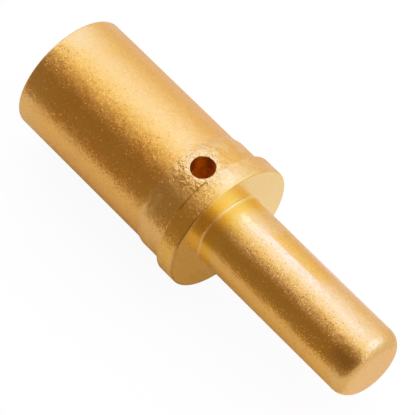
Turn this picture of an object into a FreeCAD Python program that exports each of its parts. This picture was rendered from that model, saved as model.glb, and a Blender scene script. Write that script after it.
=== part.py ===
import FreeCAD, Part
import math
import os
import Sketcher

# A turned power contact: one piece of gold plated copper alloy. It has a hollow barrel for the wire,
# a raised land with an inspection hole, a retention collar and a solid pin with a rounded tip.
# It lies on its collar with the axis level along X, the tip towards +X and the inspection hole on
# top. The body is drawn round its own axis from its open rear face, and its placement then sets it
# over the origin: Z = 0 is the surface that it lies on, and X = 0 is the middle of its length.

doc = FreeCAD.newDocument("contact")

# Driving dimensions, in millimetres and degrees.

SIZES = {
    "bore_diameter": 7.5,
    "drill_point_angle": 118.0,
    "mouth_chamfer": 0.3,
    "barrel_wall": 1.25,
    "barrel_length": 13.65,
    "taper_length": 0.6,
    "land_rise": 0.15,
    "collar_rise": 0.4,
    "collar_length": 1.7,
    "pin_diameter": 6.0,
    "pin_length": 15.75,
    "sight_hole_diameter": 1.9,
    "sight_hole_to_taper": 0.21,
    "sight_hole_to_collar": 0.19,
    "sight_hole_to_bore_end": 0.05,
    "tip_radius": 1.3,
    "pin_root_radius": 0.2,
    "collar_front_radius": 0.15,
    "collar_rear_break": 0.08,
    "rear_edge_radius": 0.2,
    "sight_hole_edge_radius": 0.06,
}
sheet = doc.addObject("Spreadsheet::Sheet", "sizes")
for row, (name, value) in enumerate(SIZES.items(), start=1):
    sheet.set(f"A{row}", name)
    sheet.set(f"B{row}", str(value))
    sheet.setAlias(f"B{row}", name)
doc.recompute()

# Radii, and places along the axis from the rear face, that follow from the driving dimensions: as
# numbers, to draw the sketches and to find edges, and as formulas, to bind dimensions to the sheet.

bore_radius = sheet.bore_diameter / 2
barrel_radius = bore_radius + sheet.barrel_wall
land_radius = barrel_radius + sheet.land_rise
collar_radius = land_radius + sheet.collar_rise
pin_radius = sheet.pin_diameter / 2
sight_hole_radius = sheet.sight_hole_diameter / 2

taper_start = sheet.barrel_length
land_start = taper_start + sheet.taper_length
sight_hole_place = land_start + sheet.sight_hole_to_taper + sight_hole_radius
collar_rear = sight_hole_place + sight_hole_radius + sheet.sight_hole_to_collar
collar_front = collar_rear + sheet.collar_length
tip = collar_front + sheet.pin_length

BARREL_RADIUS = "sizes.bore_diameter / 2 + sizes.barrel_wall"
LAND_RADIUS = f"{BARREL_RADIUS} + sizes.land_rise"
COLLAR_RADIUS = f"{LAND_RADIUS} + sizes.collar_rise"
LAND_LENGTH = "sizes.sight_hole_to_taper + sizes.sight_hole_diameter + sizes.sight_hole_to_collar"
COLLAR_REAR = f"sizes.barrel_length + sizes.taper_length + {LAND_LENGTH}"
WHOLE_LENGTH = f"{COLLAR_REAR} + sizes.collar_length + sizes.pin_length"
SIGHT_HOLE_PLACE = f"{COLLAR_REAR} - sizes.sight_hole_to_collar - sizes.sight_hole_diameter / 2"
BORE_DEPTH = f"{COLLAR_REAR} - sizes.sight_hole_to_collar + sizes.sight_hole_to_bore_end"

NEAR = 1e-4
START = 1
END = 2
CENTRE = 3
ORIGIN = (-1, 1)
LEVEL_AXIS = -1


def sketch_on(body, name, role):
    """An empty sketch on one of the body's own origin planes."""
    sketch = body.newObject("Sketcher::SketchObject", name)
    plane = next(item for item in body.Origin.OriginFeatures if item.Role == role)
    sketch.AttachmentSupport = (plane, [""])
    sketch.MapMode = "FlatFace"
    return sketch


def dimension(sketch, kind, places, name, formula, value):
    """A named dimension of a sketch, bound to a formula of the sheet."""
    number = sketch.addConstraint(Sketcher.Constraint(kind, *places, value))
    sketch.renameConstraint(number, name)
    sketch.setExpression(f"Constraints.{name}", formula)


def ring_edges(shape, radius, place):
    """The circular edges round the axis that have one radius, at one place along it."""
    names = []
    for number, edge in enumerate(shape.Edges, start=1):
        curve = edge.Curve
        if not isinstance(curve, Part.Circle):
            continue
        off_axis = math.hypot(curve.Center.y, curve.Center.z)
        if max(off_axis, abs(curve.Radius - radius), abs(curve.Center.x - place)) < NEAR:
            names.append(f"Edge{number}")
    return names


def sight_hole_rim(shape):
    """The edges where the sight hole leaves the outside of the barrel."""
    middle_of_wall = (bore_radius + land_radius) / 2
    names = []
    for number, edge in enumerate(shape.Edges, start=1):
        point = edge.valueAt((edge.FirstParameter + edge.LastParameter) / 2)
        from_hole_axis = math.hypot(point.x - sight_hole_place, point.y)
        if abs(from_hole_axis - sight_hole_radius) < NEAR and point.z > middle_of_wall:
            names.append(f"Edge{number}")
    return names


def dress_edges(body, kind, name, base, edges, size_property, size_name):
    """Rounds or bevels edges of the feature that comes before, and returns the new feature."""
    dressed = body.newObject(f"PartDesign::{kind}", name)
    dressed.Base = (base, edges)
    dressed.setExpression(size_property, f"sizes.{size_name}")
    doc.recompute()
    return dressed


contact = doc.addObject("PartDesign::Body", "contact_pin")
contact.Label = "contact_pin"

# The turned outside: half a section, closed along the axis and revolved once round it.

section = sketch_on(contact, "outside_section", "XY_Plane")
corners = [
    (0, 0),
    (0, barrel_radius),
    (taper_start, barrel_radius),
    (land_start, land_radius),
    (collar_rear, land_radius),
    (collar_rear, collar_radius),
    (collar_front, collar_radius),
    (collar_front, pin_radius),
    (tip, pin_radius),
    (tip, 0),
]
REAR_FACE, BARREL, TAPER, LAND, COLLAR_BACK, COLLAR, COLLAR_FACE, PIN, TIP_FACE, AXIS = range(len(corners))
for line, (place, radius) in enumerate(corners):
    next_place, next_radius = corners[(line + 1) % len(corners)]
    start = FreeCAD.Vector(place, radius, 0)
    end = FreeCAD.Vector(next_place, next_radius, 0)
    section.addGeometry(Part.LineSegment(start, end), False)
for line in range(len(corners)):
    following = (line + 1) % len(corners)
    section.addConstraint(Sketcher.Constraint("Coincident", line, END, following, START))
section.addConstraint(Sketcher.Constraint("Coincident", REAR_FACE, START, *ORIGIN))
for line in (BARREL, LAND, COLLAR, PIN, AXIS):
    section.addConstraint(Sketcher.Constraint("Horizontal", line))
for line in (REAR_FACE, COLLAR_BACK, COLLAR_FACE, TIP_FACE):
    section.addConstraint(Sketcher.Constraint("Vertical", line))

radii = {
    "barrel_radius": (BARREL, BARREL_RADIUS, barrel_radius),
    "land_radius": (LAND, LAND_RADIUS, land_radius),
    "collar_radius": (COLLAR, COLLAR_RADIUS, collar_radius),
    "pin_radius": (PIN, "sizes.pin_diameter / 2", pin_radius),
}
for name, (line, formula, value) in radii.items():
    dimension(section, "DistanceY", (*ORIGIN, line, START), name, formula, value)
lengths = {
    "barrel_length": (BARREL, "sizes.barrel_length", sheet.barrel_length),
    "taper_length": (TAPER, "sizes.taper_length", sheet.taper_length),
    "land_length": (LAND, LAND_LENGTH, collar_rear - land_start),
    "collar_length": (COLLAR, "sizes.collar_length", sheet.collar_length),
    "pin_length": (PIN, "sizes.pin_length", sheet.pin_length),
}
for name, (line, formula, value) in lengths.items():
    dimension(section, "DistanceX", (line, START, line, END), name, formula, value)

outside = contact.newObject("PartDesign::Revolution", "turned_outside")
outside.Profile = section
outside.ReferenceAxis = (section, ["H_Axis"])
outside.Angle = 360
doc.recompute()
turned_volume = outside.Shape.Volume

# The wire bore: drilled from the rear, with the drill's point at its end and a bevelled mouth.

bore_circle = sketch_on(contact, "bore_circle", "YZ_Plane")
bore_circle.addGeometry(Part.Circle(FreeCAD.Vector(0, 0, 0), FreeCAD.Vector(0, 0, 1), bore_radius), False)
bore_circle.addConstraint(Sketcher.Constraint("Coincident", 0, CENTRE, *ORIGIN))
dimension(bore_circle, "Diameter", (0,), "bore_diameter", "sizes.bore_diameter", sheet.bore_diameter)
doc.recompute()

bore = contact.newObject("PartDesign::Hole", "wire_bore")
bore.Profile = bore_circle
bore.Reversed = True
bore.DepthType = "Dimension"
bore.DrillPoint = "Angled"
bore.DrillForDepth = False
bore.HoleCutType = "Countersink"
bore.HoleCutCountersinkAngle = 90
bore.setExpression("Diameter", "sizes.bore_diameter")
bore.setExpression("Depth", BORE_DEPTH)
bore.setExpression("DrillPointAngle", "sizes.drill_point_angle")
bore.setExpression("HoleCutDiameter", "sizes.bore_diameter + 2 * sizes.mouth_chamfer")
doc.recompute()
bored_volume = bore.Shape.Volume

# The inspection hole: through the upper wall only, just behind the collar.

sight_circle = sketch_on(contact, "sight_hole_circle", "XY_Plane")
sight_centre = FreeCAD.Vector(sight_hole_place, 0, 0)
sight_circle.addGeometry(Part.Circle(sight_centre, FreeCAD.Vector(0, 0, 1), sight_hole_radius), False)
sight_circle.addConstraint(Sketcher.Constraint("PointOnObject", 0, CENTRE, LEVEL_AXIS))
dimension(sight_circle, "DistanceX", (*ORIGIN, 0, CENTRE), "place", SIGHT_HOLE_PLACE, sight_hole_place)
dimension(sight_circle, "Diameter", (0,), "hole_diameter", "sizes.sight_hole_diameter", sheet.sight_hole_diameter)

sight_hole = contact.newObject("PartDesign::Pocket", "sight_hole")
sight_hole.Profile = sight_circle
sight_hole.Type = "Length"
sight_hole.Reversed = True
sight_hole.setExpression("Length", COLLAR_RADIUS)
doc.recompute()
pierced_volume = sight_hole.Shape.Volume

# The edges: the tip and the collar's front are rounded, and the others are broken.

finished = sight_hole
ring_finishes = [
    ("Fillet", "tip_rounding", pin_radius, tip, "Radius", "tip_radius"),
    ("Fillet", "pin_root", pin_radius, collar_front, "Radius", "pin_root_radius"),
    ("Fillet", "collar_front_edge", collar_radius, collar_front, "Radius", "collar_front_radius"),
    ("Chamfer", "collar_rear_edge", collar_radius, collar_rear, "Size", "collar_rear_break"),
    ("Fillet", "rear_edge", barrel_radius, 0, "Radius", "rear_edge_radius"),
]
for kind, name, radius, place, size_property, size_name in ring_finishes:
    edges = ring_edges(finished.Shape, radius, place)
    finished = dress_edges(contact, kind, name, finished, edges, size_property, size_name)
rim = sight_hole_rim(finished.Shape)
finished = dress_edges(contact, "Fillet", "sight_hole_rim", finished, rim, "Radius", "sight_hole_edge_radius")

# The place: the middle of the length over the origin, and the collar on the surface below.

contact.setExpression(".Placement.Base.x", f"-({WHOLE_LENGTH}) / 2")
contact.setExpression(".Placement.Base.z", COLLAR_RADIUS)
doc.recompute()

# Checks: every feature is built, every cut takes metal away, and the result is one sound solid.

for item in doc.Objects:
    if "Invalid" in item.State or "Error" in item.State:
        raise RuntimeError(f"{item.Name} did not build: {item.State}")
if not turned_volume > bored_volume > pierced_volume:
    raise RuntimeError("a cut missed the metal")
shape = contact.Shape
if shape.isNull() or not shape.isValid() or len(shape.Solids) != 1:
    raise RuntimeError("contact_pin is not one valid solid")
box = shape.optimalBoundingBox(False, False)
print(f"contact_pin: {box.XLength:.2f} x {box.YLength:.2f} x {box.ZLength:.2f} mm, {shape.Volume:.1f} mm3")

os.makedirs("parts", exist_ok=True)
shape.exportStep(f"parts/{contact.Label}.step")
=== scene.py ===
# %% [markdown]
# # A gold plated contact pin, turned from one bar
#
# The real object is a power contact about as long as the top joint of a thumb. A lathe
# turns it from round bar, a drill hollows its rear half for the wire, one small hole
# lets the crimper see that the wire has gone all the way in, and a bath plates it with
# gold. Everything in this lesson follows from that: one shape that is round about one
# axis, and one metal.
#
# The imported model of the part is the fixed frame. It is loaded first, and its box is
# kept, so that the dressed part can be measured against it at the end.

# %% Load the frame
import math

import bmesh
import bpy
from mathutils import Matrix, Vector


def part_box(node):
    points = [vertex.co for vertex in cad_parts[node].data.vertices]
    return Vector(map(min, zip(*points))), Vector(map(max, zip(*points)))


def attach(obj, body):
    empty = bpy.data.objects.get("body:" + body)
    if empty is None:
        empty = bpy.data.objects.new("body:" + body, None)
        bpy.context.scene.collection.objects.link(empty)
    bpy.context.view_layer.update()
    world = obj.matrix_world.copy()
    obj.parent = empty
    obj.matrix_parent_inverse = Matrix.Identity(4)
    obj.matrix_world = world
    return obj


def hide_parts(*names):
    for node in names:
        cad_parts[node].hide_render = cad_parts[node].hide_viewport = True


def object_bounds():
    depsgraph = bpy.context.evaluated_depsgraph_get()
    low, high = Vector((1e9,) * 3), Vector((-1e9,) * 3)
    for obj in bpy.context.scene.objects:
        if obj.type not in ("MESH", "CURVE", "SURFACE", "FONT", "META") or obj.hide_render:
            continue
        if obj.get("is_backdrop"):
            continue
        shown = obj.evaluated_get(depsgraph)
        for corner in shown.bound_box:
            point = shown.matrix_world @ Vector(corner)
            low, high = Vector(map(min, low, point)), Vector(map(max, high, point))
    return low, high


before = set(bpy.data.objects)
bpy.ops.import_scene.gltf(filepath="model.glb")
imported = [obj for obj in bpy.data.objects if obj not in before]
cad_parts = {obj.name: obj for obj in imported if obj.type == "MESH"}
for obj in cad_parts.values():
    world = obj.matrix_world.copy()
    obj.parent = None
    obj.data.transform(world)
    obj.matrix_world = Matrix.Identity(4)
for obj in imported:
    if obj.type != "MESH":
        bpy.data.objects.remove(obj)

cad_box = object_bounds()
MM = 0.001
pin_low, pin_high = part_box("contact_pin")
LENGTH = pin_high.x - pin_low.x
AXIS_Z = (pin_low.z + pin_high.z) / 2
print(f"the part is {LENGTH / MM:.2f} mm long and its axis is {AXIS_Z / MM:.3f} mm up")

# %% [markdown]
# ## Looking at it as the photograph does
#
# The part lies along X with its tip towards +X. The photographer stood about a quarter
# of a metre away and looked down steeply, from the side of the tip. Where a camera
# stands decides how much the far end shrinks, so the distance comes first and the lens
# follows from it. The place, the direction and the lens below were worked out from the
# outline in the photograph.

# %% The camera
CAMERA_AT = Vector((94.66, -83.49, 215.87)) * MM
CAMERA_AZIMUTH = math.radians(48.918)
CAMERA_ELEVATION = math.radians(58.853)
LENS = 289.44
SENSOR = 36.0
NEAREST_SEEN = 0.01
FARTHEST_SEEN = 20.0


def towards(azimuth, elevation):
    """The direction from the object to somebody at that azimuth and elevation."""
    flat = math.cos(elevation)
    return Vector((
        math.sin(azimuth) * flat, -math.cos(azimuth) * flat, math.sin(elevation)
    ))


camera_data = bpy.data.cameras.new("camera")
camera_data.lens = LENS
camera_data.sensor_width = SENSOR
camera_data.clip_start = NEAREST_SEEN
camera_data.clip_end = FARTHEST_SEEN
camera = bpy.data.objects.new("camera", camera_data)
camera.location = CAMERA_AT
look = -towards(CAMERA_AZIMUTH, CAMERA_ELEVATION)
camera.rotation_euler = look.to_track_quat("-Z", "Y").to_euler()
bpy.context.scene.collection.objects.link(camera)
bpy.context.scene.camera = camera
print(f"the camera is {CAMERA_AT.length:.3f} m from the middle of the part")

# %% [markdown]
# ## The sizes of the turned shape
#
# A lathe hand works from a list of diameters and lengths, measured from the rear face.
# The same list serves here. Radii and lengths are in millimetres and become metres when
# used. The spokes are the points of each ring: enough of them for a round outline.

# %% Sizes
BARREL_R = 5.0
LAND_R = 5.15
COLLAR_R = 5.55
PIN_R = 3.0
BORE_R = 3.75
TAPER_FROM = 13.65
LAND_FROM = 14.25
COLLAR_FROM = 16.55
COLLAR_TO = 18.25
TIP_AT = 34.0
BORE_END = 16.41
DRILL_ANGLE = math.radians(118.0)
MOUTH_CHAMFER = 0.3
REAR_EDGE = 0.2
COLLAR_BREAK = 0.08
COLLAR_EDGE = 0.15
PIN_ROOT = 0.2
TIP_RADIUS = 1.3
HOLE_AT = 15.41
HOLE_R = 0.95
SPOKES = 256
REAR_X = pin_low.x / MM

drill_depth = BORE_R / math.tan(DRILL_ANGLE / 2)
print(f"the drill point goes {drill_depth:.2f} mm past the end of the bore")

# %% [markdown]
# ## Helpers for the modelling by hand
#
# In edit mode an operator works on what is selected. A person clicks on a ring of
# edges; a script has to say where it is. The first two helpers say where a point is and
# whether two lengths agree, the next two select by a question that is asked of each
# vertex, edge or face, and the last is the move that builds nearly all of this part:
# extrude the selected ring and set its radius.

# %% Helpers


def station(point):
    """A point's distance from the rear face and from the axis, in millimetres."""
    return point.x / MM - REAR_X, math.hypot(point.y, point.z - AXIS_Z) / MM


def near(a, b, slack=0.004):
    """Whether two lengths in millimetres are the same, but for rounding."""
    return abs(a - b) < slack


def choose(kind, test):
    """Selects the vertices, edges or faces in edit mode that pass the test."""
    mesh = bpy.context.edit_object.data
    edit = bmesh.from_edit_mesh(mesh)
    modes = {"verts": "VERT", "edges": "EDGE", "faces": "FACE"}
    bpy.ops.mesh.select_mode(type=modes[kind])
    bpy.ops.mesh.select_all(action="DESELECT")
    count = 0
    for item in getattr(edit, kind):
        if test(item):
            item.select_set(True)
            count += 1
    edit.select_flush_mode()
    bmesh.update_edit_mesh(mesh)
    return count


def choose_ring(along, radius):
    """Selects the ring of edges at that distance from the rear face and that radius."""
    def on_ring(edge):
        places = [station(v.co) for v in edge.verts]
        return all(near(s, along) and near(r, radius) for s, r in places)
    return choose("edges", on_ring)


def pull_ring(along, radius, was):
    """Extrudes the selected ring to a new place and radius, and gives these back."""
    old_along, old_radius = was
    move = (along - old_along) * MM
    bpy.ops.mesh.extrude_region_move(TRANSFORM_OT_translate={"value": (move, 0.0, 0.0)})
    if radius != old_radius:
        scale = radius / old_radius
        centre = ((REAR_X + along) * MM, 0.0, AXIS_Z)
        bpy.ops.transform.resize(value=(1.0, scale, scale), center_override=centre)
    return along, radius


tip_along, tip_out = station(Vector((pin_high.x, 0.0, AXIS_Z)))
print(f"the tip is {tip_along:.2f} mm from the rear and {tip_out:.2f} mm off the axis")

# %% [markdown]
# ## Turning the bar
#
# A spin of a drawn outline would do, and so would a cylinder for each step with a
# boolean to join them. Pulling one ring along the axis is closer to how the lathe cuts:
# each step is a length and a radius, every ring has the same number of points, and the
# skin is closed from the bottom of the bore to the middle of the tip without a seam.
#
# The ring starts as a circle at the end of the bore. It first closes over the drill
# point, with three rings on the way that are given as shares of the bore's radius.

# %% A circle at the end of the bore
bpy.ops.object.select_all(action="DESELECT")
bpy.ops.mesh.primitive_circle_add(
    vertices=SPOKES,
    radius=BORE_R * MM,
    fill_type="NOTHING",
    location=((REAR_X + BORE_END) * MM, 0.0, AXIS_Z),
    rotation=(0.0, math.pi / 2, 0.0),
)
pin = bpy.context.object
pin.name = "contact_pin_plated"
bpy.ops.object.transform_apply(location=True, rotation=True, scale=True)
bpy.ops.object.mode_set(mode="EDIT")
bpy.ops.mesh.select_all(action="SELECT")

DRILL_RINGS = (0.72, 0.42, 0.15)
here = (BORE_END, BORE_R)
for share in DRILL_RINGS:
    here = pull_ring(BORE_END + drill_depth * (1 - share), BORE_R * share, here)
last_bit = drill_depth * DRILL_RINGS[-1] * MM
bpy.ops.mesh.extrude_region_move(TRANSFORM_OT_translate={"value": (last_bit, 0, 0)})
bpy.ops.mesh.merge(type="CENTER")
print(f"the drill point has {len(bmesh.from_edit_mesh(pin.data).faces)} faces")

# %% [markdown]
# From the same circle the ring now runs out of the mouth, round the rear face and along
# the outside to the tip. Two pairs of stations mark off the patches that the inspection
# hole will be cut from, one in the bore and one in the land. The last rings only divide
# the flat of the tip.

# %% Out of the bore, round the rear face and along the outside
BORE_PATCH = 0.97
LAND_PATCH = 1.012
TIP_RINGS = (1.3, 0.7, 0.2)
stations = [
    (HOLE_AT + BORE_PATCH, BORE_R),
    (HOLE_AT - BORE_PATCH, BORE_R),
    (MOUTH_CHAMFER, BORE_R),
    (0.0, BORE_R + MOUTH_CHAMFER),
    (0.0, BARREL_R),
    (TAPER_FROM, BARREL_R),
    (LAND_FROM, LAND_R),
    (HOLE_AT - LAND_PATCH, LAND_R),
    (HOLE_AT + LAND_PATCH, LAND_R),
    (COLLAR_FROM, LAND_R),
    (COLLAR_FROM, COLLAR_R),
    (COLLAR_TO, COLLAR_R),
    (COLLAR_TO, PIN_R),
    (TIP_AT, PIN_R),
    *[(TIP_AT, radius) for radius in TIP_RINGS],
]
choose_ring(BORE_END, BORE_R)
here = (BORE_END, BORE_R)
for along, radius in stations:
    here = pull_ring(along, radius, here)
bpy.ops.mesh.extrude_region_move()
bpy.ops.mesh.merge(type="CENTER")
print(f"the turned skin has {len(bmesh.from_edit_mesh(pin.data).faces)} faces")

# %% [markdown]
# ## Bevels
#
# No edge of a real turned part is perfectly sharp, and the thin bright lines that the
# edges draw are what makes a metal part look real. The tip has a large radius so that
# it finds its socket. The root of the pin has a small fillet left by the tool's nose.
# The collar's front edge is softened, and the other edges are only broken.

# %% Bevel the turned edges


def bevel_ring(along, radius, offset, segments):
    """Rounds off the turned edge at that place and radius."""
    count = choose_ring(along, radius)
    bpy.ops.mesh.bevel(
        offset=offset * MM, offset_type="OFFSET", segments=segments, affect="EDGES"
    )
    print(f"bevelled {count} edges by {offset} mm")


bevel_ring(TIP_AT, PIN_R, TIP_RADIUS, segments=14)
bevel_ring(COLLAR_TO, PIN_R, PIN_ROOT, segments=5)
bevel_ring(COLLAR_TO, COLLAR_R, COLLAR_EDGE, segments=5)
bevel_ring(COLLAR_FROM, COLLAR_R, COLLAR_BREAK, segments=2)
bevel_ring(0.0, BARREL_R, REAR_EDGE, segments=5)

# %% [markdown]
# ## More rings where the surface is long
#
# The runs between two stations are still single strips. Subdividing the edges that lie
# along the axis cuts them into rings, which keeps the faces near square and gives the
# hole, the bevels and the light something even to work on.

# %% Rings along the runs


def cut_run(start, end, radius_start, radius_end, cuts):
    """Cuts the strip between two neighbouring stations into rings."""
    want = sorted([(start, radius_start), (end, radius_end)])

    def along_run(edge):
        ends = sorted(station(v.co) for v in edge.verts)
        return all(near(a[0], b[0]) and near(a[1], b[1]) for a, b in zip(ends, want))
    choose("edges", along_run)
    bpy.ops.mesh.subdivide(number_cuts=cuts)


cut_run(MOUTH_CHAMFER, HOLE_AT - BORE_PATCH, BORE_R, BORE_R, cuts=40)
cut_run(HOLE_AT - BORE_PATCH, HOLE_AT + BORE_PATCH, BORE_R, BORE_R, cuts=9)
cut_run(REAR_EDGE, TAPER_FROM, BARREL_R, BARREL_R, cuts=53)
cut_run(TAPER_FROM, LAND_FROM, BARREL_R, LAND_R, cuts=2)
cut_run(HOLE_AT - LAND_PATCH, HOLE_AT + LAND_PATCH, LAND_R, LAND_R, cuts=15)
cut_run(
    COLLAR_FROM + COLLAR_BREAK, COLLAR_TO - COLLAR_EDGE, COLLAR_R, COLLAR_R, cuts=7
)
cut_run(COLLAR_TO, COLLAR_TO, COLLAR_R - COLLAR_EDGE, PIN_R + PIN_ROOT, cuts=7)
cut_run(COLLAR_TO + PIN_ROOT, TIP_AT - TIP_RADIUS, PIN_R, PIN_R, cuts=56)
print(f"with its rings it has {len(bmesh.from_edit_mesh(pin.data).faces)} faces")

# %% [markdown]
# ## The inspection hole
#
# A boolean would leave long thin faces round the hole, and a polished curved surface
# shows each of them. The hole is opened by hand instead. A square patch of faces is
# deleted from the outside and another from the bore, the two square borders are
# rounded, and a bridge joins them as the wall of the hole. The patch in the land is 16
# faces by 16 and the one in the bore 22 by 10, so both borders have 64 points and the
# bridge is all quads.

# %% Open the two patches
LAND_CELLS, BORE_CELLS = 16, 22
CELL_TURN = 360.0 / SPOKES


def turn_of(point):
    """The angle of a point round the axis, in degrees from straight up."""
    return math.degrees(math.atan2(point.y, point.z - AXIS_Z))


def in_patch(face, radius, half_length, half_turn):
    """Whether a face is at that radius and inside the square round the hole."""
    centre = face.calc_center_median()
    along, out = station(centre)
    return (
        near(out, radius, slack=0.05)
        and abs(along - HOLE_AT) < half_length
        and abs(turn_of(centre)) < half_turn
    )


for radius, half_length, half_turn in (
    (LAND_R, LAND_PATCH, LAND_CELLS / 2 * CELL_TURN),
    (BORE_R, BORE_PATCH, BORE_CELLS / 2 * CELL_TURN),
):
    opened = choose("faces", lambda f: in_patch(f, radius, half_length, half_turn))
    bpy.ops.mesh.delete(type="FACE")
    print(f"opened {opened} faces at radius {radius} mm")

# %% [markdown]
# An operator that makes a border round would lift it off the curved wall. So each point
# of the two borders gets its place from a sum: its share of a full turn round the hole
# gives how far along and across it is, and the wall's radius gives its height.

# %% Round the two borders


def round_hole(point):
    """The angle of a point round the middle of the inspection hole."""
    return math.atan2(point.y / MM, point.x / MM - REAR_X - HOLE_AT)


edit = bmesh.from_edit_mesh(pin.data)
for radius in (LAND_R, BORE_R):
    border = [v for v in edit.verts if v.is_boundary and near(station(v.co)[1], radius)]
    border.sort(key=lambda v: round_hole(v.co))
    start = round_hole(border[0].co)
    for count, vert in enumerate(border):
        turn = start + 2 * math.pi * count / len(border)
        across = HOLE_R * math.sin(turn)
        vert.co.x = (REAR_X + HOLE_AT + HOLE_R * math.cos(turn)) * MM
        vert.co.y = across * MM
        vert.co.z = AXIS_Z + math.sqrt(radius ** 2 - across ** 2) * MM
    print(f"rounded a border of {len(border)} points at radius {radius} mm")
bmesh.update_edit_mesh(pin.data)

# %% [markdown]
# The bridge makes the wall between the two borders, with a few rings of its own. A
# drill leaves a rim that is rounded by the tumbling, so the outer rim gets a small
# bevel.

# %% Bridge the wall of the hole and bevel its rim
WALL_CUTS = 5
RIM_BEVEL = 0.06
RIM_SEGMENTS = 3


def on_rim(edge):
    """Whether an edge lies on the outer rim of the inspection hole."""
    if len(edge.link_faces) != 2:
        return False
    for vert in edge.verts:
        along, out = station(vert.co)
        flat = math.hypot(along - HOLE_AT, vert.co.y / MM)
        if not (near(out, LAND_R) and near(flat, HOLE_R)):
            return False
    return edge.verts[0].co.z > AXIS_Z


choose("edges", lambda e: e.is_boundary)
bpy.ops.mesh.bridge_edge_loops(number_cuts=WALL_CUTS)
rim = choose("edges", on_rim)
bpy.ops.mesh.bevel(
    offset=RIM_BEVEL * MM, offset_type="OFFSET", segments=RIM_SEGMENTS, affect="EDGES"
)
print(f"the rim of the hole has {rim} edges")

# %% [markdown]
# Last, doubled points are merged, all faces are turned outwards, and the shading is
# made smooth wherever two faces meet at less than 32 degrees. Weighted normals keep the
# large faces flat beside their bevels.

# %% Close and smooth
DOUBLES_WITHIN = 0.0005
SHARP_ABOVE = math.radians(32.0)
bpy.ops.mesh.select_all(action="SELECT")
bpy.ops.mesh.remove_doubles(threshold=DOUBLES_WITHIN * MM)
bpy.ops.mesh.normals_make_consistent(inside=False)
bpy.ops.object.mode_set(mode="OBJECT")
bpy.ops.object.shade_smooth_by_angle(angle=SHARP_ABOVE)
weighted = pin.modifiers.new("weighted", "WEIGHTED_NORMAL")
weighted.keep_sharp = True
bpy.ops.object.modifier_apply(modifier=weighted.name)

solid = bmesh.new()
solid.from_mesh(pin.data)
open_edges = sum(1 for e in solid.edges if not e.is_manifold)
volume = solid.calc_volume() / MM ** 3
print(f"{len(solid.faces)} faces, {open_edges} open edges, {volume:.1f} mm3")
solid.free()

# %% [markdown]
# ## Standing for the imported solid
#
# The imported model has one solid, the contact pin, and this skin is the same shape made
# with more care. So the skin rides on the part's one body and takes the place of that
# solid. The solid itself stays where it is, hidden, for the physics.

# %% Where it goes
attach(pin, "root")
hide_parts("contact_pin")
print(f"{pin.name} rides on the body root and stands for contact_pin")

# %% [markdown]
# ## Gold plating
#
# Gold from a bath is metal through and through. It has no paint colour, only a tinted
# mirror, so Metallic is 1 and the tint is the Base Color. Four things keep it from
# looking like foil: the fine crystals of the matt bath, each tilted a little its own
# way, which sparkle where light turns to dark; a faint waviness of the turned and
# tumbled metal below; a tone that drifts with the thickness of the gold; and wear. Some
# of the tones laid over it are painted highlights, painted reflections and painted shade.
#
# Linking dozens of nodes by hand in a script is tiresome to write and to read. A few
# helpers make a node, set it and link it in one line, and a line then reads like a
# small sum.

# %% Node helpers


def give(tree, value, socket):
    """Links a socket's value to another socket, or sets a plain value on it."""
    if isinstance(value, bpy.types.NodeSocket):
        tree.links.new(value, socket)
    else:
        socket.default_value = value


def add_node(tree, kind, inputs=None, **settings):
    """Adds a node, sets its properties, and sets or links its inputs."""
    node = tree.nodes.new("ShaderNode" + kind)
    for name, value in settings.items():
        setattr(node, name, value)
    for name, value in (inputs or {}).items():
        give(tree, value, node.inputs[name])
    return node


def math_node(tree, operation, *values):
    """Adds a Math node with those values or links and gives its result."""
    node = add_node(tree, "Math", operation=operation)
    for socket, value in zip(node.inputs, values):
        give(tree, value, socket)
    return node.outputs[0]


def vector_node(tree, operation, *values):
    """Adds a Vector Math node in the same way, and gives the node."""
    node = add_node(tree, "VectorMath", operation=operation)
    vectors = [socket for socket in node.inputs if socket.type == "VECTOR"]
    for socket, value in zip(vectors, values):
        give(tree, value, socket)
    return node


def product(tree, *masks):
    """Masks multiplied together: only what all of them let through is left."""
    result = masks[0]
    for mask in masks[1:]:
        result = math_node(tree, "MULTIPLY", result, mask)
    return result


def noise(tree, where, scale, detail):
    """A noise with lumps of about 1 / scale metres."""
    return add_node(tree, "TexNoise", {
        "Vector": where, "Scale": scale, "Detail": detail,
    }).outputs["Fac"]


print("node helpers: give, add_node, math_node, vector_node, product and noise")

# %% [markdown]
# ### The crystals
#
# A Voronoi texture fills space with small cells and gives each one a colour of its own.
# Read as a direction, that colour tilts the normal of the whole cell, as a crystal's
# face does. The tilt is multiplied by a high power of its own length, so most crystals
# lie nearly flat and a few lean far over: those are the single sparks beside the dark
# band. The effect is a group with two numbers, the fineness and the tilt, so that it
# could be laid on another metal too.

# %% Group: crystal sparkle
FINENESS = 16000.0
TILT = 1.7
LEAN_POWER = 4.0
MIDDLE_COLOUR = (0.5, 0.5, 0.5)
crystals = bpy.data.node_groups.new("crystal sparkle", "ShaderNodeTree")
crystals.interface.new_socket("Vector", in_out="INPUT", socket_type="NodeSocketVector")
for name, value in (("Fineness", FINENESS), ("Tilt", TILT)):
    socket = crystals.interface.new_socket(
        name, in_out="INPUT", socket_type="NodeSocketFloat"
    )
    socket.default_value = value
crystals.interface.new_socket("Normal", in_out="OUTPUT", socket_type="NodeSocketVector")
given = crystals.nodes.new("NodeGroupInput").outputs
gives = crystals.nodes.new("NodeGroupOutput").inputs

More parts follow.
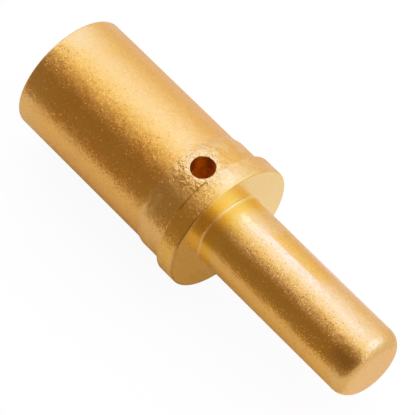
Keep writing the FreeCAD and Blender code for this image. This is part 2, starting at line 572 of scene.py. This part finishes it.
cell_colour = add_node(crystals, "TexVoronoi", {
    "Vector": given["Vector"], "Scale": given["Fineness"],
}).outputs["Color"]
lean = vector_node(crystals, "SUBTRACT", cell_colour, MIDDLE_COLOUR).outputs[0]
leaning = vector_node(crystals, "LENGTH", lean).outputs["Value"]
powered = math_node(crystals, "POWER", leaning, LEAN_POWER)
steep = math_node(crystals, "MULTIPLY", powered, given["Tilt"])
scaled = vector_node(crystals, "SCALE", lean)
crystals.links.new(steep, scaled.inputs["Scale"])
smooth_normal = add_node(crystals, "NewGeometry").outputs["Normal"]
tilted = vector_node(crystals, "ADD", smooth_normal, scaled.outputs[0]).outputs[0]
leaned = vector_node(crystals, "NORMALIZE", tilted).outputs[0]
crystals.links.new(leaned, gives["Normal"])
print(f"the group {crystals.name} has {len(crystals.nodes)} nodes")

# %% [markdown]
# ### Where a point is on the pin
#
# All marks on the metal are placed by Object coordinates, so they stay on it whatever
# side is looked at. A Mapping node brings the axis of the pin to the middle. Three
# numbers then say where a point is, as on a lathe: how far along, how far round and how
# far from the axis.

# %% The material and its three coordinates
gold = bpy.data.materials.new("satin gold plating")
gold.use_nodes = True
tree = gold.node_tree
metal = tree.nodes["Principled BSDF"]
metal.inputs["Metallic"].default_value = 1.0
place = add_node(tree, "Mapping", {
    "Vector": add_node(tree, "TexCoord").outputs["Object"],
    "Location": (0.0, 0.0, -AXIS_Z),
}).outputs[0]
parts = add_node(tree, "SeparateXYZ", {"Vector": place}).outputs


def distance(tree, first, second):
    """The length of the long side of a right triangle."""
    squares = [math_node(tree, "POWER", side, 2.0) for side in (first, second)]
    return math_node(tree, "SQRT", math_node(tree, "ADD", *squares))


along = parts["X"]
turned_by = math_node(tree, "ARCTAN2", parts["Y"], parts["Z"])
from_axis = distance(tree, parts["Y"], parts["Z"])
print(f"the axis is brought down by {AXIS_Z / MM:.2f} mm")

# %% [markdown]
# ### The tone of the gold
#
# Gold that is a little thicker looks a little redder, so the tint drifts between two
# close tones, by a noise that is a few millimetres wide. Both stay close to the tint
# that gold has by measurement. A second, finer noise is kept for later: added to a
# position or an angle, it makes the edge of a mark wander as real ones do.

# %% Tone
THICK_GOLD = (1.0, 0.735, 0.315)
THIN_GOLD = (1.0, 0.775, 0.355)
DRIFT_LOW, DRIFT_HIGH = 0.3, 0.7
drift = noise(tree, place, scale=420.0, detail=4.0)
fine = noise(tree, place, scale=900.0, detail=3.0)
wobble = math_node(tree, "SUBTRACT", fine, 0.5)
tone = add_node(tree, "ValToRGB", {"Fac": drift})
thick_stop, thin_stop = tone.color_ramp.elements
thick_stop.position, thin_stop.position = DRIFT_LOW, DRIFT_HIGH
thick_stop.color, thin_stop.color = (*THICK_GOLD, 1.0), (*THIN_GOLD, 1.0)
print(f"the tint drifts between {THICK_GOLD} and {THIN_GOLD}")

# %% [markdown]
# ### Drawing a mask
#
# Each mark on the metal is a mask, a value that is 1 on the mark and 0 off it. Painting
# the masks by hand would need an image. Here a mask is a stretch along the axis, a
# sector round it or a span of its radius, given by the two places where it rises and
# the two where it falls. So each can be moved later by a number. Lengths are in
# millimetres along the axis from the middle of the part, and angles in degrees from
# straight up, positive on the far side.
#
# Multiplied masks keep what they share. A noise among them, kept only where it is high,
# breaks a mark up, and a plain number among them says how strong the mark is.

# %% Mask helpers
DEGREE = math.radians(1.0)
WANDER = 1.2 * MM
WANDER_TURN = 10.0 * DEGREE


def rise(tree, value, start, end):
    """A smooth mask that goes from 0 at start to 1 at end."""
    return add_node(tree, "MapRange", {
        "Value": value, "From Min": start, "From Max": end,
    }, interpolation_type="SMOOTHSTEP").outputs[0]


def from_to(value, *steps, unit=MM):
    """A mask that rises between the first two steps and falls between the last two."""
    spans = zip(steps[::2], steps[1::2])
    rises = [rise(tree, value, start * unit, end * unit) for start, end in spans]
    return product(tree, *rises)


def shifted(value, amount):
    """The value with the fine noise added, so that an edge set by it wanders."""
    return math_node(tree, "ADD", value, math_node(tree, "MULTIPLY", wobble, amount))


wandering_x = shifted(along, WANDER)
wandering_turn = shifted(turned_by, WANDER_TURN)
wander_degrees = WANDER_TURN / DEGREE / 2
print(f"edges wander by {WANDER / MM / 2:.1f} mm and {wander_degrees:.0f} degrees")

# %% [markdown]
# ### Where the metal is rubbed, and a painted highlight
#
# A pin is handled, tumbled and pushed into gauges, and the gold that is rubbed turns
# paler and less yellow. That shows on the flat of the tip. On the upper side of the pin
# and of the land round the inspection hole the paler tone is partly rubbed gold and
# partly a painted highlight, which makes the bright reflection there whiter. The rubbing
# runs along the pin, so a noise that is drawn out four times along the axis breaks
# these two up into long streaks.

# %% Masks of the rubbed places and the painted highlight
DRAWN_OUT = (0.25, 1.0, 1.0)
STREAK_LOW, STREAK_GAIN = 0.5, 0.6
upper_side = from_to(wandering_turn, -46.0, -24.0, 45.0, 20.0, unit=DEGREE)
pin_rub_highlight = from_to(wandering_x, 2.0, 4.5, 16.6, 15.0)
land_rub_highlight = product(tree, from_to(wandering_x, -5.5, -2.5, 0.6, -0.9), 0.8)
tip_rub = from_to(along, 16.75, 16.98)
long_grain = add_node(tree, "Mapping", {"Vector": place, "Scale": DRAWN_OUT}).outputs[0]
streaks = rise(tree, noise(tree, long_grain, scale=1300.0, detail=2.0), 0.38, 0.62)
streaked = math_node(tree, "MULTIPLY_ADD", streaks, STREAK_GAIN, STREAK_LOW)
# rubbed gold and a painted highlight: the paler tone on the upper side makes the bright
# reflection whiter
rubbed_highlight_sides = product(
    tree, upper_side, math_node(tree, "MAXIMUM", pin_rub_highlight, land_rub_highlight), streaked
)
rubbed_and_highlight = math_node(tree, "MAXIMUM", rubbed_highlight_sides, tip_rub)
print(f"{len(tree.nodes)} nodes with the rubbed places")

# %% [markdown]
# ### Painted light on the pin
#
# On the far side of the pin an amber patch is a painted reflection, the sharp edge of
# something bright mirrored in the gold, and beside it a scratch has its highlight painted
# in a pale tone. The near side is painted a little deeper in tone, as painted shade that
# deepens the dark band, and near the end the dark band is painted darker, a painted dark
# reflection.

# %% Masks of the painted light on the pin
# painted reflection: an amber patch with a sharp edge on the far side of the pin
amber_reflection = product(
    tree,
    from_to(wandering_x, 4.6, 5.2, 11.2, 9.4),
    from_to(turned_by, 14.5, 16.5, unit=DEGREE),
    from_to(wandering_turn, 54.0, 42.0, unit=DEGREE),
)
# painted highlight: a pale line along a scratch beside the amber patch
scratch_highlight = product(
    tree,
    from_to(wandering_x, 4.8, 5.4, 10.6, 9.8),
    from_to(turned_by, 9.5, 11.0, 15.5, 14.0, unit=DEGREE),
    0.7,
)
# painted shade: a deeper tone on the pin's near side, over the dark band
pin_flank_shade = product(
    tree,
    from_to(wandering_x, 2.0, 3.5, 16.0, 15.0),
    from_to(wandering_turn, -26.0, -38.0, unit=DEGREE),
)
# painted dark reflection: the dark band made darker near the tip
band_end_shade = product(
    tree,
    from_to(wandering_x, 13.6, 15.8),
    from_to(along, 16.95, 16.3),
    from_to(wandering_turn, -58.0, -42.0, -10.0, -28.0, unit=DEGREE),
)
print(f"{len(tree.nodes)} nodes with the marks on the pin")

# %% [markdown]
# ### Marks and painted light on the land and the collar
#
# The land and the collar have blotches of a paler amber. The near side of the collar is
# painted deeper and greener, as painted shade. Where the taper meets the land, the near
# side is scuffed and rougher, and its paler tone is a painted highlight along that corner.
# A dark line along part of the collar's rear corner is painted shade in the crease.

# %% Masks of the marks and the painted light on the land and the collar
blotches = product(
    tree,
    rise(tree, drift, 0.5, 0.54),
    from_to(wandering_x, -4.0, -3.0),
    from_to(along, 1.3, 1.1),
    from_to(wandering_turn, 0.0, 15.0, unit=DEGREE),
)
# painted shade: a deeper, greener tone on the collar's near side
collar_side_shade = product(
    tree,
    from_to(along, -0.45, -0.40, 1.12, 1.06),
    from_to(wandering_turn, -22.0, -36.0, unit=DEGREE),
)
# rougher scuffed metal, with a painted highlight: a paler tone along the taper's corner
scuff_and_highlight = product(
    tree,
    from_to(along, -2.90, -2.55, -1.85, -2.25),
    from_to(wandering_turn, -64.0, -58.0, -22.0, -44.0, unit=DEGREE),
    rise(tree, fine, 0.3, 0.5),
    0.6,
)
# painted shade: a dark line in the collar's rear corner
rear_corner_shade = product(
    tree,
    from_to(along, -0.50, -0.46, -0.22, -0.31),
    from_to(wandering_turn, -40.0, -33.0, -4.0, -12.0, unit=DEGREE),
    0.9,
)
print(f"{len(tree.nodes)} nodes with the marks on the land and the collar")

# %% [markdown]
# ### Corners and the bore
#
# The corner between the pin and the collar is painted a yellower gold, a painted
# reflection of the collar's front face in the root of the pin. The fillet in it is a thin
# pinkish line, a painted highlight, and the collar's outer edge is painted darker on the
# near side, as painted shade. In the bore the bath hardly moves, so little gold settles
# and the copper below shows through: looked into, the hole is a deep orange brown, not
# yellow.

# %% Masks of the corners and the bore
# painted reflection: the collar's front face mirrored yellow in the root of the pin
corner = product(tree, from_to(wandering_x, 3.8, 1.8), from_to(along, 1.05, 1.2))
# painted highlight: a pinkish tone on the fillet's near side
fillet_highlight = product(
    tree,
    from_to(from_axis, 3.0, 3.03, 3.2, 3.17),
    from_to(along, 1.1, 1.2, 1.6, 1.5),
    from_to(turned_by, 15.0, -20.0, unit=DEGREE),
)
# painted shade: the collar's outer edge darker on the near side
collar_edge_shade = product(
    tree,
    from_to(from_axis, 5.38, 5.44),
    from_to(along, 1.08, 1.12),
    from_to(turned_by, -12.0, -30.0, unit=DEGREE),
)
inside = product(
    tree,
    from_to(from_axis, 5.06, 4.9),
    from_to(along, 1.2, 1.0),
    from_to(along, -16.9, -14.0),
)
print(f"{len(tree.nodes)} nodes with the corners and the bore")

# %% [markdown]
# ### One tone over another
#
# The masks now decide which gold shows where. Several of the tones are painted
# highlights, painted reflections and painted shade, as marked in the list. Each Mix node
# lays one tone over all that came before it, so the last one wins, as with coats of paint.
# The wide marks come before the narrow ones that lie on them, and the copper of the bore
# comes last.

# %% The tones
TONES = (
    # paler rubbed gold, and a painted highlight on the upper side of the pin and the land
    ((1.0, 0.76, 0.39), rubbed_and_highlight),
    # painted shade on the pin's near side
    ((1.0, 0.71, 0.235), pin_flank_shade),
    # painted reflection of the collar's face in the pin's root
    ((1.0, 0.79, 0.28), corner),
    # painted highlight on the fillet
    ((1.0, 0.74, 0.38), fillet_highlight),
    # painted shade on the collar's near edge, and the painted dark reflection at the
    # band's end
    ((0.72, 0.50, 0.19), math_node(tree, "MAXIMUM", collar_edge_shade, band_end_shade)),
    # painted shade on the collar's near side
    ((1.0, 0.73, 0.22), collar_side_shade),
    # painted highlight along the taper's corner, where the metal is also scuffed
    ((1.0, 0.79, 0.40), scuff_and_highlight),
    # painted shade in the collar's rear corner
    ((0.60, 0.38, 0.11), rear_corner_shade),
    ((1.0, 0.69, 0.22), blotches),
    # painted reflection: the amber patch on the far side of the pin
    ((1.0, 0.68, 0.20), amber_reflection),
    # painted highlight along the scratch
    ((1.0, 0.86, 0.62), scratch_highlight),
    ((1.0, 0.56, 0.05), inside),
)
surface = tone.outputs["Color"]
for tint, mask in TONES:
    layer = add_node(tree, "Mix", data_type="RGBA")
    factor, below, above = layer.inputs[0], layer.inputs[6], layer.inputs[7]
    tree.links.new(mask, factor)
    tree.links.new(surface, below)
    above.default_value = (*tint, 1.0)
    surface = layer.outputs[2]
tree.links.new(surface, metal.inputs["Base Color"])
print(f"{len(TONES)} tones lie over the drifting gold")

# %% [markdown]
# ### Roughness
#
# A satin surface spreads a reflection by a few degrees, which is a roughness of about a
# quarter. It drifts a little with the tone. The bore, which nothing polishes, and the
# scuffed place on the land are duller.

# %% Roughness
SATIN_LOW, SATIN_HIGH = 0.24, 0.30
BORE_DULL, SCUFF_DULL = 0.4, 0.7
satin = add_node(tree, "MapRange", {
    "Value": drift, "From Min": DRIFT_LOW, "From Max": DRIFT_HIGH,
    "To Min": SATIN_LOW, "To Max": SATIN_HIGH,
}).outputs[0]
dull = math_node(
    tree, "MAXIMUM", product(tree, inside, BORE_DULL), product(tree, scuff_and_highlight, SCUFF_DULL)
)
roughness = math_node(tree, "MAXIMUM", satin, dull)
tree.links.new(roughness, metal.inputs["Roughness"])
print(f"the gold is {SATIN_LOW} to {SATIN_HIGH} rough, and the bore {BORE_DULL}")

# %% [markdown]
# ### Relief
#
# The relief has three sizes. The crystals are finer than a pixel of the picture and
# come from the group. The waviness of the tumbled metal is a few tenths of a millimetre
# long, and below it lies a slow swell over a few millimetres, which makes the long
# highlights waver. These two are a few hundredths of a millimetre high and go through a
# Bump node. Round the inspection hole the drill has left its burrs, so there the relief
# is rougher, and in the corner at the root of the pin, which the tumbling doesn't
# reach, it is calm. The true edges, the fillets and the hole are in the mesh, since a
# bump can't change an outline.

# %% Crystals, waves and burrs
BURR_TILT = 1.5
CORNER_CALM = 0.75
SWELL_GAIN, BURR_GAIN = 4.0, 7.0
RELIEF_HIGH = 0.02 * MM
past_hole = math_node(tree, "SUBTRACT", along, (REAR_X + HOLE_AT) * MM)
from_hole = distance(tree, past_hole, parts["Y"])
burrs = product(
    tree,
    from_to(from_hole, 2.4, 1.3),
    from_to(parts["Z"], 0.0, 1.0),
    from_to(from_axis, 4.8, 5.0),
)
calm = math_node(tree, "MULTIPLY_ADD", corner, -CORNER_CALM, 1.0)
tilt = math_node(tree, "MULTIPLY_ADD", burrs, BURR_TILT, TILT)
sparkle = add_node(tree, "Group", node_tree=crystals)
give(tree, place, sparkle.inputs["Vector"])
give(tree, product(tree, tilt, calm), sparkle.inputs["Tilt"])
waves = noise(tree, place, scale=2200.0, detail=2.0)
dents = noise(tree, place, scale=2500.0, detail=2.0)
swell = math_node(tree, "MULTIPLY_ADD", drift, SWELL_GAIN, waves)
relief = math_node(tree, "ADD", swell, product(tree, dents, burrs, BURR_GAIN))
bump = add_node(tree, "Bump", {
    "Height": relief, "Distance": RELIEF_HIGH, "Strength": calm,
    "Normal": sparkle.outputs["Normal"],
})
tree.links.new(bump.outputs[0], metal.inputs["Normal"])
pin.data.materials.append(gold)
print(f"the material {gold.name} has {len(tree.nodes)} nodes")

# %% [markdown]
# ## The floor
#
# The part lies on a sheet of pale paper. Its warm tint is what the lower side of the
# gold reflects. A camera ray sees the paper lifted to white, which gives the clean
# background of a catalogue picture without more light on the object, and the rest of
# the mix keeps the soft shadow. A reflection sees it lifted only a little, so the metal
# keeps the warm paper below.

# %% Floor
FLOOR_WIDE = 3.0
PAPER = (0.95, 0.84, 0.63, 1.0)
WHITE, WHITE_STRENGTH = (0.955, 0.975, 1.0, 1.0), 1.12
SEEN_LIFT, MIRRORED_LIFT = 0.85, 0.05
bpy.ops.object.select_all(action="DESELECT")
bpy.ops.mesh.primitive_plane_add(size=FLOOR_WIDE, location=(0.0, 0.0, 0.0))
floor = bpy.context.object
floor.name = "floor"
floor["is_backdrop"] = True
paper = bpy.data.materials.new("pale paper")
paper.use_nodes = True
paper_tree = paper.node_tree
sheet = paper_tree.nodes["Principled BSDF"]
sheet.inputs["Base Color"].default_value = PAPER
sheet.inputs["Roughness"].default_value = 0.9
sheet.inputs["Specular IOR Level"].default_value = 0.0
white = add_node(paper_tree, "Emission", {"Color": WHITE, "Strength": WHITE_STRENGTH})
rays = add_node(paper_tree, "LightPath").outputs
seen = math_node(
    paper_tree, "MAXIMUM", rays["Is Camera Ray"], rays["Is Transmission Ray"]
)
lift = math_node(
    paper_tree, "ADD",
    math_node(paper_tree, "MULTIPLY", seen, SEEN_LIFT),
    math_node(paper_tree, "MULTIPLY", rays["Is Glossy Ray"], MIRRORED_LIFT),
)
lifted = add_node(paper_tree, "MixShader", {"Fac": lift})
paper_tree.links.new(sheet.outputs[0], lifted.inputs[1])
paper_tree.links.new(white.outputs[0], lifted.inputs[2])
paper_end = paper_tree.nodes["Material Output"]
paper_tree.links.new(lifted.outputs[0], paper_end.inputs["Surface"])
floor.data.materials.append(paper)
print(f"the floor is {floor.dimensions.x:.1f} m wide")

# %% [markdown]
# ## The light tent
#
# Polished or satin metal shows nothing but its surroundings, so a photographer builds
# them: a tent of cloth arched over the object, bright where the lamps stand behind it
# and dark where a brown flag hangs. The bands that run along the pin are that tent,
# seen in the gold. An arch along X gives bands that run along X, so the tent is a
# cylinder round the pin, cut at the floor. Its ends are closed, or the flat faces would
# mirror whatever is outside.

# %% Tent
TENT_RADIUS, TENT_LONG, TENT_SIDES = 0.5, 1.6, 96
JUST_BELOW_FLOOR = -0.01
bpy.ops.object.select_all(action="DESELECT")
bpy.ops.mesh.primitive_cylinder_add(
    vertices=TENT_SIDES,
    radius=TENT_RADIUS,
    depth=TENT_LONG,
    end_fill_type="NGON",
    rotation=(0.0, math.pi / 2, 0.0),
)
tent = bpy.context.object
tent.name = "tent"
bpy.ops.object.transform_apply(location=True, rotation=True, scale=True)
bpy.ops.object.mode_set(mode="EDIT")
cut_off = choose("faces", lambda f: f.calc_center_median().z < JUST_BELOW_FLOOR)
bpy.ops.mesh.delete(type="FACE")
bpy.ops.object.mode_set(mode="OBJECT")
tent.visible_camera = False
tent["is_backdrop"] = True
print(f"cut {cut_off} faces off below the floor")

# %% [markdown]
# The cloth glows by itself, which is simpler and less noisy than lamps shining through
# it. Its tone depends only on the angle round the pin, from the floor on the near side
# over the top to the floor on the far side. White is 1, so the gold renders about as
# its tint is written. The brown of the near side makes the dark band, and beyond the
# top the cloth is bluish, like daylight from a window.

# %% Tent cloth
CLOTH = (
    (-90, (0.22, 0.13, 0.05)),
    (-70, (0.27, 0.16, 0.065)),
    (-50, (0.225, 0.122, 0.038)),
    (-35, (0.29, 0.15, 0.06)),
    (-20, (0.54, 0.36, 0.20)),
    (-5, (0.885, 0.64, 0.29)),
    (10, (1.01, 0.96, 0.88)),
    (35, (0.99, 1.01, 1.44)),
    (55, (0.95, 0.88, 0.95)),
    (75, (0.85, 0.72, 0.62)),
    (90, (0.79, 0.60, 0.34)),
)


def new_glow(title):
    """A material that only glows, and its Emission node."""
    made = bpy.data.materials.new(title)
    made.use_nodes = True
    made.node_tree.nodes.clear()
    light = add_node(made.node_tree, "Emission")
    output = add_node(made.node_tree, "OutputMaterial")
    made.node_tree.links.new(light.outputs[0], output.inputs["Surface"])
    return made, light


cloth, cloth_light = new_glow("tent cloth")
cloth_tree = cloth.node_tree
cloth_at = add_node(cloth_tree, "TexCoord").outputs["Object"]
cloth_parts = add_node(cloth_tree, "SeparateXYZ", {"Vector": cloth_at}).outputs
angle = math_node(cloth_tree, "ARCTAN2", cloth_parts["Y"], cloth_parts["Z"])
over = add_node(cloth_tree, "MapRange", {
    "Value": angle, "From Min": -math.pi / 2, "From Max": math.pi / 2,
}).outputs[0]
dyed = add_node(cloth_tree, "ValToRGB", {"Fac": over})
while len(dyed.color_ramp.elements) < len(CLOTH):
    dyed.color_ramp.elements.new(0.5)
for stop, (degrees, glow) in zip(dyed.color_ramp.elements, CLOTH):
    stop.position = (degrees + 90) / 180
    stop.color = (*glow, 1.0)
give(cloth_tree, dyed.outputs["Color"], cloth_light.inputs["Color"])
tent.data.materials.append(cloth)
print(f"the cloth goes through {len(CLOTH)} tones from side to side")

# %% [markdown]
# ## A flag and two cards
#
# Three small sheets finish the reflections, as on a real table. The first is a low flag
# of brown felt that stands beside the near side and widens the lower edge of the dark
# band. All three are made by one helper: each is a flat plane at its size and place,
# isn't seen by the camera and casts no shadow on the paper.

# %% Flag
FELT = (0.32, 0.17, 0.06, 1.0)


def add_sheet(title, length, width, turns, at):
    """A flat sheet, sized and placed in millimetres and turned by degrees."""
    bpy.ops.object.select_all(action="DESELECT")
    bpy.ops.mesh.primitive_plane_add(size=1.0)
    made = bpy.context.object
    made.name = title
    made.scale = (length * MM, width * MM, 1.0)
    made.rotation_euler = [turn * DEGREE for turn in turns]
    made.location = Vector(at) * MM
    bpy.ops.object.transform_apply(location=True, rotation=True, scale=True)
    made.visible_camera = False
    made.visible_diffuse = False
    made.visible_shadow = False
    made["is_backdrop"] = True
    print(f"{title}: {length} x {width} mm")
    return made


flag = add_sheet("flag", 400.0, 9.0, turns=(90.0, 0.0, 0.0), at=(0.0, -30.0, 4.8))
felt, felt_light = new_glow("brown felt")
felt_light.inputs["Color"].default_value = FELT
flag.data.materials.append(felt)

# %% [markdown]
# Seen from above, the flat front of the collar mirrors the paper before it, and so does
# the tip, so a white card is laid there. Its tone turns warmer towards the tip, a painted
# shade of the paper there. A cream card lies on the far side, and the far flank of the
# barrel mirrors that one.

# %% Cards
BOARD_NEAR, BOARD_FAR = (0.85, 0.76, 0.86, 1.0), (0.79, 0.61, 0.46, 1.0)
BOARD_TURNS_FROM, BOARD_TURNS_TO = 8.0 * MM, 16.0 * MM
TISSUE = (0.79, 0.62, 0.60, 1.0)
card = add_sheet("card", 27.0, 11.0, turns=(0.0, 0.0, -20.0), at=(14.4, 3.5, 0.02))
board, board_light = new_glow("white board")
board_tree = board.node_tree
board_at = add_node(board_tree, "TexCoord").outputs["Object"]
board_x = add_node(board_tree, "SeparateXYZ", {"Vector": board_at}).outputs["X"]
# painted shade: the card's far end is warmer and darker, as the paper near the tip
warmer = rise(board_tree, board_x, BOARD_TURNS_FROM, BOARD_TURNS_TO)
shade = add_node(board_tree, "ValToRGB", {"Fac": warmer})
shade.color_ramp.elements[0].color = BOARD_NEAR
shade.color_ramp.elements[1].color = BOARD_FAR
give(board_tree, shade.outputs["Color"], board_light.inputs["Color"])
card.data.materials.append(board)

side_card = add_sheet(
    "side card", 44.0, 32.0, turns=(0.0, 0.0, 0.0), at=(-10.0, 29.0, 0.02)
)
tissue, tissue_light = new_glow("cream tissue")
tissue_light.inputs["Color"].default_value = TISSUE
side_card.data.materials.append(tissue)

# %% [markdown]
# ## The world
#
# Outside the tent the world is plain white at a strength of 1, for the rays that leave
# past the floor. A sky or a picture of a room could stand there instead, but a plain
# white keeps every colour as it is written.

# %% World
world = bpy.data.worlds.new("studio")
bpy.context.scene.world = world
world.use_nodes = True
background = world.node_tree.nodes["Background"]
background.inputs["Color"].default_value = (1.0, 1.0, 1.0, 1.0)
background.inputs["Strength"].default_value = 1.0
print(f"the world {world.name} is white")

# %% [markdown]
# ## Two small lamps
#
# Inside the tent two small cool lamps add what its cloth can't: the soft bright spot
# half way along the pin, and the one on the rounding of the tip. They are much too weak
# to light the paper, and the second isn't seen by it at all.

# %% Lamps


def add_lamp(title, size, colour, energy, at, aim_at):
    """A round area lamp, sized, placed and aimed in millimetres."""
    data = bpy.data.lights.new(title, "AREA")
    data.shape = "DISK"
    data.size = size * MM
    data.color = colour
    data.energy = energy
    made = bpy.data.objects.new(title, data)
    made.location = Vector(at) * MM
    aim = Vector(aim_at) * MM - made.location
    made.rotation_euler = aim.to_track_quat("-Z", "Y").to_euler()
    made.visible_camera = False
    bpy.context.scene.collection.objects.link(made)
    print(f"{title}: {size} mm wide, {energy} W")
    return made


add_lamp(
    "pin spot", 16.0, (0.15, 0.35, 1.0), 0.0008,
    at=(-16.55, 31.7, 54.5), aim_at=(5.65, 0.33, 8.5),
)
tip_spot = add_lamp(
    "tip spot", 50.0, (0.1, 0.3, 1.0), 0.006,
    at=(52.7, 40.7, 33.7), aim_at=(16.3, 0.6, 8.0),
)
tip_spot.visible_diffuse = False

# %% [markdown]
# ## The look and the sizes
#
# The Standard view transform shows each colour as it is, so white paper is white. The
# boxes of the imported model and of the dressed one are written side by side, and they
# should agree to a few hundredths of a millimetre, because Blender only dresses the
# part.

# %% Look, sizes and finish
bpy.context.scene.view_settings.view_transform = "Standard"
shown_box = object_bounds()
for name, (low, high) in (("packed", cad_box), ("dressed", shown_box)):
    print(name, [round((b - a) / MM, 3) for a, b in zip(low, high)])
